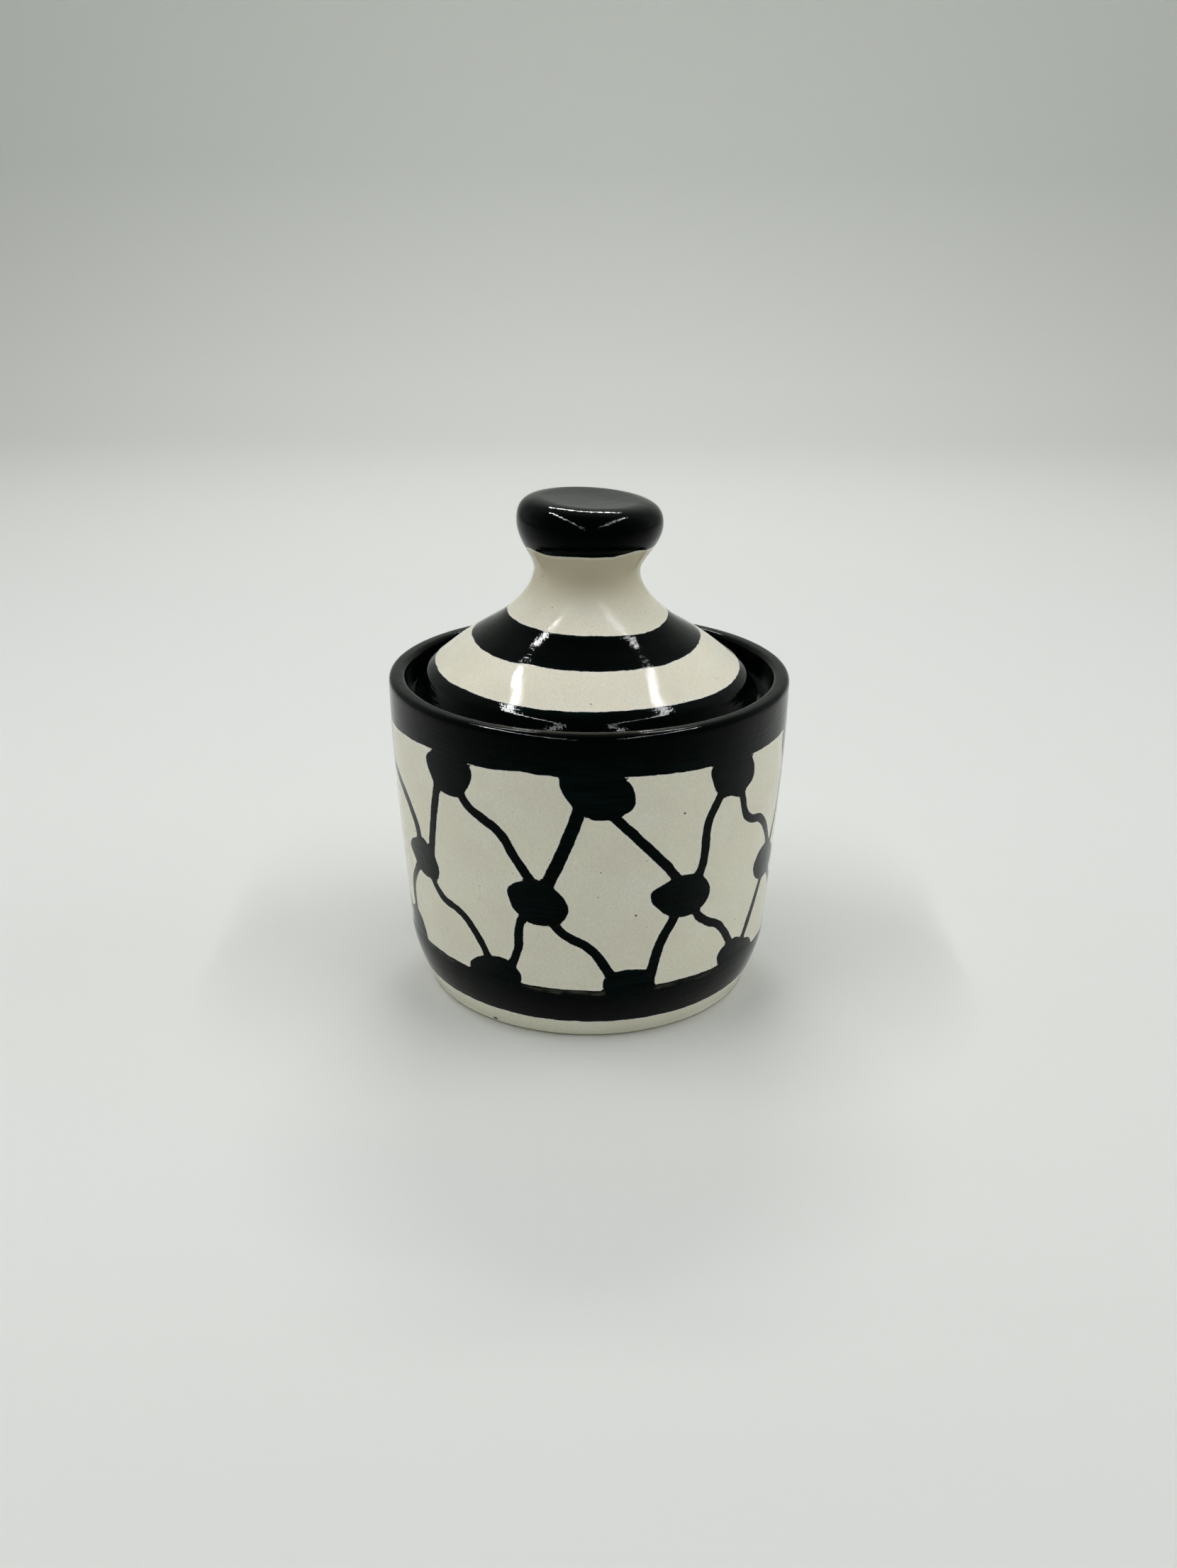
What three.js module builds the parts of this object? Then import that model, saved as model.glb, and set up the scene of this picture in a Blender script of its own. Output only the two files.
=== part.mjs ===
// Lidded pot: a small glazed earthenware pot with a drop-in lid.
// Two fired pieces: the pot, with a ledge inside its mouth, and the lid, one with its knob.
// Millimetres, +Z up. The origin is the middle of the foot, on the table.

import * as THREE from 'three';

// Pot, outside
const RIM_RADIUS = 42.5; // widest, just under the rim
const POT_HEIGHT = 69.2; // table to the top of the rim
const WALL_TAPER = 3; // radius lost from the rim down to the heel
const WALL_BOW = 0.9; // how far the upper wall bellies out of a straight line
const HEEL_HEIGHT = 14; // where the wall starts to turn in towards the foot
const HEEL_TURN = 3.9; // radius lost from the heel to the foot
const FOOT_ROUND = 1.1; // rounded edge of the foot
const FOOT_RING_WIDTH = 5; // flat ring that the pot stands on
const FOOT_RECESS = 1; // underside inside the ring, raised off the table

// Pot, rim and ledge
const LIP_WIDTH = 3.6; // rim from outside to mouth
const LIP_ROUND = 1.4; // both edges of the rim
const MOUTH_TAPER = 0.6; // radius lost from the mouth down to the ledge
const LEDGE_DEPTH = 5.2; // rim to ledge
const LEDGE_WIDTH = 5.4; // flat ledge that carries the lid
const LEDGE_THICKNESS = 3.2; // its nose
const LEDGE_BLEND = 9; // height over which its underside runs into the wall

// Pot, inside
const POT_WALL = 4.2;
const POT_FLOOR = 5;
const INSIDE_ROUND = 12; // between the wall and the floor

// Lid, where it meets the pot
const SEAT_GAP = 0.3; // lid over ledge
const EDGE_CLEARANCE = 1.8; // lid edge to the wall of the mouth
const FLANGE_CLEARANCE = 0.8; // locating flange inside the ledge
const FLANGE_DEPTH = 3.2; // below the ledge's face
const FLANGE_WALL = 3;
const EDGE_HEIGHT = 4.4; // lid edge, underside to the start of the slope
const EDGE_ROUND = 0.8; // below
const EDGE_SHOULDER = 1.4; // above, where the edge turns into the slope

// Lid, slope and neck
const LID_WALL = 4.2;
const SLOPE_ANGLE = THREE.MathUtils.degToRad(37.4);
const SLOPE_REACH = 7.8; // how far the slope holds its angle
const SHOULDER_RADIUS = 20.9; // flattest ring of the slope, below the neck
const SHOULDER_RISE = 10.1; // start of the slope to the shoulder
const SHOULDER_ANGLE = THREE.MathUtils.degToRad(31.2);
const SHOULDER_REACH_DOWN = 8.1; // how far the shoulder holds its angle below
const SHOULDER_REACH_UP = 3.9; // and above
const NECK_RADIUS = 11.1;
const NECK_RISE = 22.3; // start of the slope to the narrowest point
const NECK_REACH = 4.9; // how far the neck stays upright below its narrowest point
const HOLLOW_RISE = 16.9; // underside of the edge to the top of the hollow
const HOLLOW_FLAT = 8; // how far the top of the hollow stays level
const HOLLOW_REACH = 18; // how far the side of the hollow holds the slope's angle

// Lid, knob
const KNOB_RADIUS = 15.2;
const KNOB_FLARE = 10.2; // narrowest point of the neck to the widest of the knob
const NECK_TOP_REACH = 2.9; // how far the neck stays upright above its narrowest point
const KNOB_REACH = 4.4; // how far the knob stays upright below its widest point
const KNOB_SHOULDER = 4.7; // widest point up to the edge of the top
const KNOB_FLAT = 10; // radius of the nearly flat top
const KNOB_CROWN = 0.4; // how much the top rises to its middle

// Facets
const TURN_STEPS = 48; // around the axis
const CURVE_STEP = 2.8; // along a curve of an outline
const LEAST_STEPS = 3; // on the shortest curve

// Radii and heights that several outlines share
const heelRadius = RIM_RADIUS - WALL_TAPER;
const footRadius = heelRadius - HEEL_TURN;
const standRadius = footRadius - FOOT_ROUND;
const recessRadius = standRadius - FOOT_RING_WIDTH;
const mouthRadius = RIM_RADIUS - LIP_WIDTH;
const ledgeRadius = mouthRadius - MOUTH_TAPER;
const boreRadius = ledgeRadius - LEDGE_WIDTH;
const ledgeHeight = POT_HEIGHT - LEDGE_DEPTH;
const floorHeight = FOOT_RECESS + POT_FLOOR;
const wallTop = POT_HEIGHT - LIP_ROUND;

// Solid turned from an outline that runs from the axis below, round outside, to the axis above
function turned(outline) {
  const points = [];
  for (const curve of outline.curves) {
    const steps = curve.isLineCurve ? 1 : Math.max(LEAST_STEPS, Math.round(curve.getLength() / CURVE_STEP));
    const stretch = curve.getPoints(steps);
    points.push(...(points.length ? stretch.slice(1) : stretch));
  }
  return new THREE.LatheGeometry(points, TURN_STEPS).rotateX(Math.PI / 2);
}

function potOutline() {
  const outline = new THREE.Path();

  // Underside: raised middle, then the flat ring
  outline.moveTo(0, FOOT_RECESS);
  outline.lineTo(recessRadius - FOOT_RECESS, FOOT_RECESS);
  outline.lineTo(recessRadius, 0);
  outline.lineTo(standRadius, 0);
  outline.quadraticCurveTo(footRadius, 0, footRadius, FOOT_ROUND);

  // Heel, wall and rim
  outline.bezierCurveTo(footRadius + HEEL_TURN / 3, FOOT_ROUND + HEEL_HEIGHT / 6,
    heelRadius, HEEL_HEIGHT * 2 / 3, heelRadius, HEEL_HEIGHT);
  const wallHeight = wallTop - HEEL_HEIGHT;
  outline.bezierCurveTo(heelRadius + (WALL_TAPER + WALL_BOW) / 3, HEEL_HEIGHT + wallHeight / 3,
    heelRadius + WALL_TAPER * 2 / 3 + WALL_BOW, wallTop - wallHeight / 3, RIM_RADIUS, wallTop);
  outline.quadraticCurveTo(RIM_RADIUS, POT_HEIGHT, RIM_RADIUS - LIP_ROUND, POT_HEIGHT);
  outline.lineTo(mouthRadius + LIP_ROUND, POT_HEIGHT);
  outline.quadraticCurveTo(mouthRadius, POT_HEIGHT, mouthRadius, wallTop);

  // Mouth down to the ledge, and round the ledge's nose
  const noseRound = LEDGE_THICKNESS / 3;
  outline.lineTo(ledgeRadius, ledgeHeight);
  outline.lineTo(boreRadius + noseRound, ledgeHeight);
  outline.quadraticCurveTo(boreRadius, ledgeHeight, boreRadius, ledgeHeight - noseRound);
  outline.lineTo(boreRadius, ledgeHeight - LEDGE_THICKNESS);

  // Underside of the ledge, inside wall, rounded corner, floor
  const blendHeight = ledgeHeight - LEDGE_THICKNESS - LEDGE_BLEND;
  const cornerHeight = floorHeight + INSIDE_ROUND;
  const blendRadius = RIM_RADIUS - POT_WALL;
  const cornerRadius = heelRadius - POT_WALL;
  outline.bezierCurveTo(boreRadius, ledgeHeight - LEDGE_THICKNESS - LEDGE_BLEND / 3,
    blendRadius, blendHeight + LEDGE_BLEND / 3, blendRadius, blendHeight);
  outline.lineTo(cornerRadius, cornerHeight);
  outline.quadraticCurveTo(cornerRadius, floorHeight, cornerRadius - INSIDE_ROUND, floorHeight);
  outline.lineTo(0, floorHeight);
  return outline;
}

function lidOutline() {
  const outline = new THREE.Path();
  const lidRadius = ledgeRadius - EDGE_CLEARANCE;
  const underside = ledgeHeight + SEAT_GAP;
  const flangeRadius = boreRadius - FLANGE_CLEARANCE;
  const flangeInside = flangeRadius - FLANGE_WALL;
  const flangeBottom = ledgeHeight - FLANGE_DEPTH;
  const flangeRound = FLANGE_WALL / 2;

  // Where the slope starts, and the direction that it climbs in
  const slopeRadius = lidRadius - EDGE_SHOULDER;
  const slopeHeight = underside + EDGE_HEIGHT;
  const inward = Math.cos(SLOPE_ANGLE);
  const upward = Math.sin(SLOPE_ANGLE);
  const neckHeight = slopeHeight + NECK_RISE;

  // Hollow under the lid, a wall's thickness inside the slope
  const shift = slopeRadius - LID_WALL * upward - flangeInside;
  const hollowFoot = slopeHeight - LID_WALL * inward + shift * Math.tan(SLOPE_ANGLE);
  const hollowTop = underside + HOLLOW_RISE;
  outline.moveTo(0, hollowTop);
  outline.bezierCurveTo(HOLLOW_FLAT, hollowTop,
    flangeInside - HOLLOW_REACH * inward, hollowFoot + HOLLOW_REACH * upward, flangeInside, hollowFoot);

  // Locating flange that drops inside the ledge
  outline.lineTo(flangeInside, flangeBottom + flangeRound);
  outline.quadraticCurveTo(flangeInside, flangeBottom, flangeInside + flangeRound, flangeBottom);
  outline.quadraticCurveTo(flangeRadius, flangeBottom, flangeRadius, flangeBottom + flangeRound);
  outline.lineTo(flangeRadius, underside);

  // Edge that rests on the ledge
  outline.lineTo(lidRadius - EDGE_ROUND, underside);
  outline.quadraticCurveTo(lidRadius, underside, lidRadius, underside + EDGE_ROUND);
  outline.quadraticCurveTo(lidRadius, slopeHeight - EDGE_SHOULDER * Math.tan(SLOPE_ANGLE),
    slopeRadius, slopeHeight);

  // Slope, shoulder, neck and knob
  const shoulderHeight = slopeHeight + SHOULDER_RISE;
  const shoulderInward = Math.cos(SHOULDER_ANGLE);
  const shoulderUpward = Math.sin(SHOULDER_ANGLE);
  const knobHeight = neckHeight + KNOB_FLARE;
  const topEdge = knobHeight + KNOB_SHOULDER;
  outline.bezierCurveTo(slopeRadius - SLOPE_REACH * inward, slopeHeight + SLOPE_REACH * upward,
    SHOULDER_RADIUS + SHOULDER_REACH_DOWN * shoulderInward,
    shoulderHeight - SHOULDER_REACH_DOWN * shoulderUpward, SHOULDER_RADIUS, shoulderHeight);
  outline.bezierCurveTo(SHOULDER_RADIUS - SHOULDER_REACH_UP * shoulderInward,
    shoulderHeight + SHOULDER_REACH_UP * shoulderUpward,
    NECK_RADIUS, neckHeight - NECK_REACH, NECK_RADIUS, neckHeight);
  outline.bezierCurveTo(NECK_RADIUS, neckHeight + NECK_TOP_REACH,
    KNOB_RADIUS, knobHeight - KNOB_REACH, KNOB_RADIUS, knobHeight);
  outline.quadraticCurveTo(KNOB_RADIUS, topEdge, KNOB_FLAT, topEdge);
  outline.quadraticCurveTo(KNOB_FLAT / 2, topEdge + KNOB_CROWN, 0, topEdge + KNOB_CROWN);
  return outline;
}

// Cream glaze over pale clay; the painted bands and net are only a finish
function glaze() {
  return new THREE.MeshStandardMaterial({ color: 0xe6e1d2, roughness: 0.12, metalness: 0 });
}

const pot = new THREE.Mesh(turned(potOutline()), glaze());
pot.name = 'pot';

const lid = new THREE.Mesh(turned(lidOutline()), glaze());
lid.name = 'lid';

const liddedPot = new THREE.Group();
liddedPot.add(pot, lid);

export default liddedPot;
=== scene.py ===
import math
import random

import bpy
import numpy as np
from mathutils import Matrix, Vector


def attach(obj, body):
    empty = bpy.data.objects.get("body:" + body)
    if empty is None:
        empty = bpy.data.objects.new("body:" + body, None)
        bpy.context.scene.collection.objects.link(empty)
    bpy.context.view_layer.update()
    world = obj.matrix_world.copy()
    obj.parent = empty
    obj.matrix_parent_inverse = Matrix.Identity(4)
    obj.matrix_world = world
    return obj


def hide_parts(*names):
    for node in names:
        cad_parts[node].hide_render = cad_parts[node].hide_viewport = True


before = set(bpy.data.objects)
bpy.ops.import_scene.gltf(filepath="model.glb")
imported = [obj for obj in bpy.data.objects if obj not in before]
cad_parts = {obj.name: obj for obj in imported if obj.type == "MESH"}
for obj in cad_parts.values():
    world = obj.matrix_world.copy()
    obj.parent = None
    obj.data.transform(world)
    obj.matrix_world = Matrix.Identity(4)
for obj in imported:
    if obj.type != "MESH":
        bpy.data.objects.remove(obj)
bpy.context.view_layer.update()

# Lidded pot: slip-cast earthenware, cream glaze, brush-painted in black.
# The sizes are in millimetres. Angles run round the axis in degrees: 0 is the front, 90 the right.
MM = 0.001

# Pot, outside
RIM_RADIUS = 42.5
POT_HEIGHT = 69.2
HEEL_RADIUS = 39.5
HEEL_HEIGHT = 14
FOOT_RADIUS = 35.6
FOOT_ROUND = 1.1
FOOT_RING_WIDTH = 5
FOOT_RECESS = 1
WALL_BOW = 0.9
LIP_ROUND = 1.4

# Pot, mouth and inside
MOUTH_RADIUS = 38.9
LEDGE_RADIUS = 38.3
LEDGE_HEIGHT = 64
LEDGE_THICKNESS = 3.2
LEDGE_BLEND = 9
BORE_RADIUS = 32.9
POT_WALL = 4.2
FLOOR_HEIGHT = 6
INSIDE_ROUND = 12

# Lid
LID_RADIUS = 36.5
LID_UNDERSIDE = 64.3
EDGE_ROUND = 0.8
EDGE_SHOULDER = 1.4
EDGE_CREST = 33.5
EDGE_STEEP_RADIUS = 34.1
EDGE_STEEP_HEIGHT = 69.2
EDGE_STEEP_DROP = 2.8
EDGE_LEAN = math.tan(math.radians(20))
SLOPE_HEIGHT = 68.7
SLOPE_ANGLE = math.radians(37.4)
SLOPE_REACH = 7.8
SHOULDER_RADIUS = 20.9
SHOULDER_HEIGHT = 78.8
SHOULDER_ANGLE = math.radians(31.2)
SHOULDER_REACH_DOWN = 8.1
SHOULDER_REACH_UP = 3.9
FLANGE_RADIUS = 32.1
FLANGE_INSIDE = 29.1
FLANGE_BOTTOM = 60.8
HOLLOW_FOOT = 68
HOLLOW_TOP = 81.2
HOLLOW_FLAT = 8
HOLLOW_REACH = 18
NECK_RADIUS = 11.1
NECK_HEIGHT = 91
NECK_REACH = 4.9
NECK_TOP_REACH = 2.9
KNOB_RADIUS = 15.2
KNOB_HEIGHT = 101.2
KNOB_REACH = 4.4
KNOB_TOP = 105.9
KNOB_FLAT = 10
KNOB_DISH = 0.2

# Fineness of the meshes
TURN_STEPS = 372
TIGHT_STEP = 0.3
FINE_STEP = 0.65
PLAIN_STEP = 1.6
MERGE_DISTANCE = 0.01
CREASE_ANGLE = math.radians(40)


def linear(hex_colour):
    """An sRGB hex colour as linear RGBA."""
    parts = [int(hex_colour[i:i + 2], 16) / 255 for i in (1, 3, 5)]
    return [c / 12.92 if c <= 0.04045 else ((c + 0.055) / 1.055) ** 2.4 for c in parts] + [1]


# Turned pieces

def add_stretch(drawing, step, corners):
    """One stretch of an outline: a line, or a curve pulled towards one or two corners."""
    ends = [Vector((r * MM, 0, z * MM)) for r, z in corners]
    start, end = ends[0], ends[-1]
    if len(ends) == 2:
        pulls = [start.lerp(end, 1 / 3), start.lerp(end, 2 / 3)]
    elif len(ends) == 3:
        pulls = [start.lerp(ends[1], 2 / 3), end.lerp(ends[1], 2 / 3)]
    else:
        pulls = ends[1:3]
    length = (pulls[0] - start).length + (pulls[1] - pulls[0]).length + (end - pulls[1]).length
    spline = drawing.splines.new("BEZIER")
    spline.bezier_points.add(1)
    spline.resolution_u = max(3, round(length / (step * MM)))
    for point, place in zip(spline.bezier_points, (start, end)):
        point.handle_left_type = point.handle_right_type = "FREE"
        point.co = point.handle_left = point.handle_right = place
    spline.bezier_points[0].handle_right = pulls[0]
    spline.bezier_points[1].handle_left = pulls[1]


def turn(name, start, stretches):
    """A solid turned from its outline, as on a wheel. Each stretch is its step, its corners and its end."""
    bpy.ops.curve.primitive_bezier_curve_add(location=(0, 0, 0))
    piece = bpy.context.object
    piece.name = piece.data.name = name
    piece.data.splines.clear()
    for step, *corners in stretches:
        add_stretch(piece.data, step, [start, *corners])
        start = corners[-1]
    bpy.ops.object.convert(target="MESH")
    bpy.ops.object.mode_set(mode="EDIT")
    bpy.ops.mesh.select_all(action="SELECT")
    bpy.ops.mesh.remove_doubles(threshold=MERGE_DISTANCE * MM)
    bpy.ops.object.mode_set(mode="OBJECT")
    wheel = piece.modifiers.new("wheel", "SCREW")
    wheel.axis = "Z"
    wheel.angle = math.tau
    wheel.steps = wheel.render_steps = TURN_STEPS
    wheel.use_merge_vertices = True
    wheel.merge_threshold = MERGE_DISTANCE * MM
    bpy.ops.object.modifier_apply(modifier="wheel")
    bpy.ops.object.mode_set(mode="EDIT")
    bpy.ops.mesh.select_all(action="SELECT")
    bpy.ops.mesh.normals_make_consistent(inside=False)
    bpy.ops.object.mode_set(mode="OBJECT")
    bpy.ops.object.shade_smooth_by_angle(angle=CREASE_ANGLE)
    return piece


def turn_pot():
    """The pot, from the middle of its underside outwards, up the wall and down to its floor."""
    recess = FOOT_RADIUS - FOOT_ROUND - FOOT_RING_WIDTH
    wall_top = POT_HEIGHT - LIP_ROUND
    wall = wall_top - HEEL_HEIGHT
    taper = RIM_RADIUS - HEEL_RADIUS
    turn_in = HEEL_RADIUS - FOOT_RADIUS
    nose = LEDGE_THICKNESS / 3
    nose_foot = LEDGE_HEIGHT - LEDGE_THICKNESS
    blend_radius = RIM_RADIUS - POT_WALL
    blend_height = nose_foot - LEDGE_BLEND
    corner_radius = HEEL_RADIUS - POT_WALL
    return turn("painted_pot", (0, FOOT_RECESS), [
        (PLAIN_STEP, (recess - FOOT_RECESS, FOOT_RECESS)),
        (PLAIN_STEP, (recess, 0)),
        (PLAIN_STEP, (FOOT_RADIUS - FOOT_ROUND, 0)),
        (TIGHT_STEP, (FOOT_RADIUS, 0), (FOOT_RADIUS, FOOT_ROUND)),
        (FINE_STEP, (FOOT_RADIUS + turn_in / 3, FOOT_ROUND + HEEL_HEIGHT / 6),
         (HEEL_RADIUS, HEEL_HEIGHT * 2 / 3), (HEEL_RADIUS, HEEL_HEIGHT)),
        (FINE_STEP, (HEEL_RADIUS + (taper + WALL_BOW) / 3, HEEL_HEIGHT + wall / 3),
         (HEEL_RADIUS + taper * 2 / 3 + WALL_BOW, wall_top - wall / 3), (RIM_RADIUS, wall_top)),
        (TIGHT_STEP, (RIM_RADIUS, POT_HEIGHT), (RIM_RADIUS - LIP_ROUND, POT_HEIGHT)),
        (FINE_STEP, (MOUTH_RADIUS + LIP_ROUND, POT_HEIGHT)),
        (TIGHT_STEP, (MOUTH_RADIUS, POT_HEIGHT), (MOUTH_RADIUS, wall_top)),
        (FINE_STEP, (LEDGE_RADIUS, LEDGE_HEIGHT)),
        (FINE_STEP, (BORE_RADIUS + nose, LEDGE_HEIGHT)),
        (TIGHT_STEP, (BORE_RADIUS, LEDGE_HEIGHT), (BORE_RADIUS, LEDGE_HEIGHT - nose)),
        (FINE_STEP, (BORE_RADIUS, nose_foot)),
        (PLAIN_STEP, (BORE_RADIUS, nose_foot - LEDGE_BLEND / 3),
         (blend_radius, blend_height + LEDGE_BLEND / 3), (blend_radius, blend_height)),
        (PLAIN_STEP, (corner_radius, FLOOR_HEIGHT + INSIDE_ROUND)),
        (PLAIN_STEP, (corner_radius, FLOOR_HEIGHT), (corner_radius - INSIDE_ROUND, FLOOR_HEIGHT)),
        (PLAIN_STEP, (0, FLOOR_HEIGHT)),
    ])


def turn_lid():
    """The lid, from the top of its hollow outwards, round the flange and the edge and up over the knob."""
    inward, upward = math.cos(SLOPE_ANGLE), math.sin(SLOPE_ANGLE)
    flat_inward, flat_upward = math.cos(SHOULDER_ANGLE), math.sin(SHOULDER_ANGLE)
    flange_round = (FLANGE_RADIUS - FLANGE_INSIDE) / 2
    slope_radius = LID_RADIUS - EDGE_SHOULDER
    fall = math.tan(SLOPE_ANGLE)
    crest_height = SLOPE_HEIGHT + (slope_radius - EDGE_CREST) * fall
    corner_height = ((crest_height - fall * (EDGE_STEEP_RADIUS - EDGE_CREST)
                      - fall * EDGE_LEAN * EDGE_STEEP_HEIGHT) / (1 - fall * EDGE_LEAN))
    corner_radius = EDGE_STEEP_RADIUS - EDGE_LEAN * (corner_height - EDGE_STEEP_HEIGHT)
    return turn("painted_lid", (0, HOLLOW_TOP), [
        (PLAIN_STEP, (HOLLOW_FLAT, HOLLOW_TOP),
         (FLANGE_INSIDE - HOLLOW_REACH * inward, HOLLOW_FOOT + HOLLOW_REACH * upward),
         (FLANGE_INSIDE, HOLLOW_FOOT)),
        (PLAIN_STEP, (FLANGE_INSIDE, FLANGE_BOTTOM + flange_round)),
        (TIGHT_STEP, (FLANGE_INSIDE, FLANGE_BOTTOM), (FLANGE_INSIDE + flange_round, FLANGE_BOTTOM)),
        (TIGHT_STEP, (FLANGE_RADIUS, FLANGE_BOTTOM), (FLANGE_RADIUS, FLANGE_BOTTOM + flange_round)),
        (PLAIN_STEP, (FLANGE_RADIUS, LID_UNDERSIDE)),
        (PLAIN_STEP, (LID_RADIUS - EDGE_ROUND, LID_UNDERSIDE)),
        (TIGHT_STEP, (LID_RADIUS, LID_UNDERSIDE), (LID_RADIUS, LID_UNDERSIDE + EDGE_ROUND)),
        (TIGHT_STEP, (LID_RADIUS, LID_UNDERSIDE + 2 * EDGE_ROUND),
         (EDGE_STEEP_RADIUS + EDGE_LEAN * EDGE_STEEP_DROP, EDGE_STEEP_HEIGHT - EDGE_STEEP_DROP),
         (EDGE_STEEP_RADIUS, EDGE_STEEP_HEIGHT)),
        (TIGHT_STEP, (corner_radius, corner_height), (EDGE_CREST, crest_height)),
        (FINE_STEP, (slope_radius - SLOPE_REACH * inward, SLOPE_HEIGHT + SLOPE_REACH * upward),
         (SHOULDER_RADIUS + SHOULDER_REACH_DOWN * flat_inward,
          SHOULDER_HEIGHT - SHOULDER_REACH_DOWN * flat_upward),
         (SHOULDER_RADIUS, SHOULDER_HEIGHT)),
        (FINE_STEP, (SHOULDER_RADIUS - SHOULDER_REACH_UP * flat_inward,
                     SHOULDER_HEIGHT + SHOULDER_REACH_UP * flat_upward),
         (NECK_RADIUS, NECK_HEIGHT - NECK_REACH), (NECK_RADIUS, NECK_HEIGHT)),
        (FINE_STEP, (NECK_RADIUS, NECK_HEIGHT + NECK_TOP_REACH), (KNOB_RADIUS, KNOB_HEIGHT - KNOB_REACH),
         (KNOB_RADIUS, KNOB_HEIGHT)),
        (TIGHT_STEP, (KNOB_RADIUS, KNOB_TOP), (KNOB_FLAT, KNOB_TOP)),
        (FINE_STEP, (KNOB_FLAT / 2, KNOB_TOP - KNOB_DISH), (0, KNOB_TOP - KNOB_DISH)),
    ])


def settle(piece, low, high, rows):
    """Hand-made unevenness: a cage round the piece, each row of it shifted and tilted a little."""
    half = RIM_RADIUS
    bpy.ops.object.add(type="LATTICE", location=(0, 0, (low + high) / 2 * MM))
    cage = bpy.context.object
    cage.scale = (2 * half * MM, 2 * half * MM, (high - low) * MM)
    cage.data.points_u = cage.data.points_v = 2
    cage.data.points_w = len(rows)
    cage.data.interpolation_type_u = cage.data.interpolation_type_v = "KEY_LINEAR"
    cage.data.interpolation_type_w = "KEY_CATMULL_ROM"
    for i, point in enumerate(cage.data.points):
        # Each row of the cage has four points
        shift, lean, back_lean, drop = rows[i // 4]
        right = math.copysign(half, point.co.x)
        back = math.copysign(half, point.co.y)
        point.co_deform.x += shift / (2 * half)
        point.co_deform.z += (drop + lean * right + back_lean * back) / (high - low)
    bend = piece.modifiers.new("settle", "LATTICE")
    bend.object = cage
    bpy.context.view_layer.objects.active = piece
    bpy.ops.object.modifier_apply(modifier="settle")
    bpy.data.objects.remove(cage)


bpy.ops.object.select_all(action="DESELECT")
pot = turn_pot()
lid = turn_lid()

# Row by row upwards: shift to the right, height gained per millimetre to the right and to the back, lift
LID_ROWS = [
    (-0.3, 0, 0, 0), (-0.6, -0.004, 0.006, 0), (-0.33, -0.016, 0.02, 0), (-0.42, -0.016, 0.02, 0),
    (-0.52, -0.016, 0.018, 0), (-0.6, -0.016, 0.013, 0), (-0.4, -0.025, 0.006, -0.05),
    (-0.05, -0.042, 0, -0.1), (0.05, -0.053, 0, -0.25),
]
CAGE_LOW = 60
CAGE_HIGH = 107
settle(lid, CAGE_LOW, CAGE_HIGH, LID_ROWS)


# Painted pattern. Each mark is (angle, height) along its outline or its middle line.
TOP_BAND = [
    (-180, 60.6), (-120, 60.9), (-70, 60.7), (-60, 61.1), (-47, 61.4), (-35, 60.9), (-29, 60.7),
    (-25, 60.75), (-18, 61.2), (-13, 60.9), (-10, 61.0), (-7.7, 60.6), (9, 60.75), (27, 60.45),
    (35, 60.3), (50, 60.1), (70, 60.0), (125, 60.3), (180, 60.6),
]
LOW_BAND_TOP = [
    (-180, 13.6), (-60, 14.35), (-50, 14.05), (-38, 13.7), (-20, 13.3), (-6, 13.0), (5, 12.85),
    (21, 13.0), (43, 13.0), (63, 13.0), (90, 13.1), (180, 13.6),
]
LOW_BAND_FOOT = [
    (-180, 4.9), (-60, 5.0), (-30, 4.7), (-15, 4.5), (15, 4.4), (30, 4.4), (60, 4.7), (180, 4.9),
]

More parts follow.
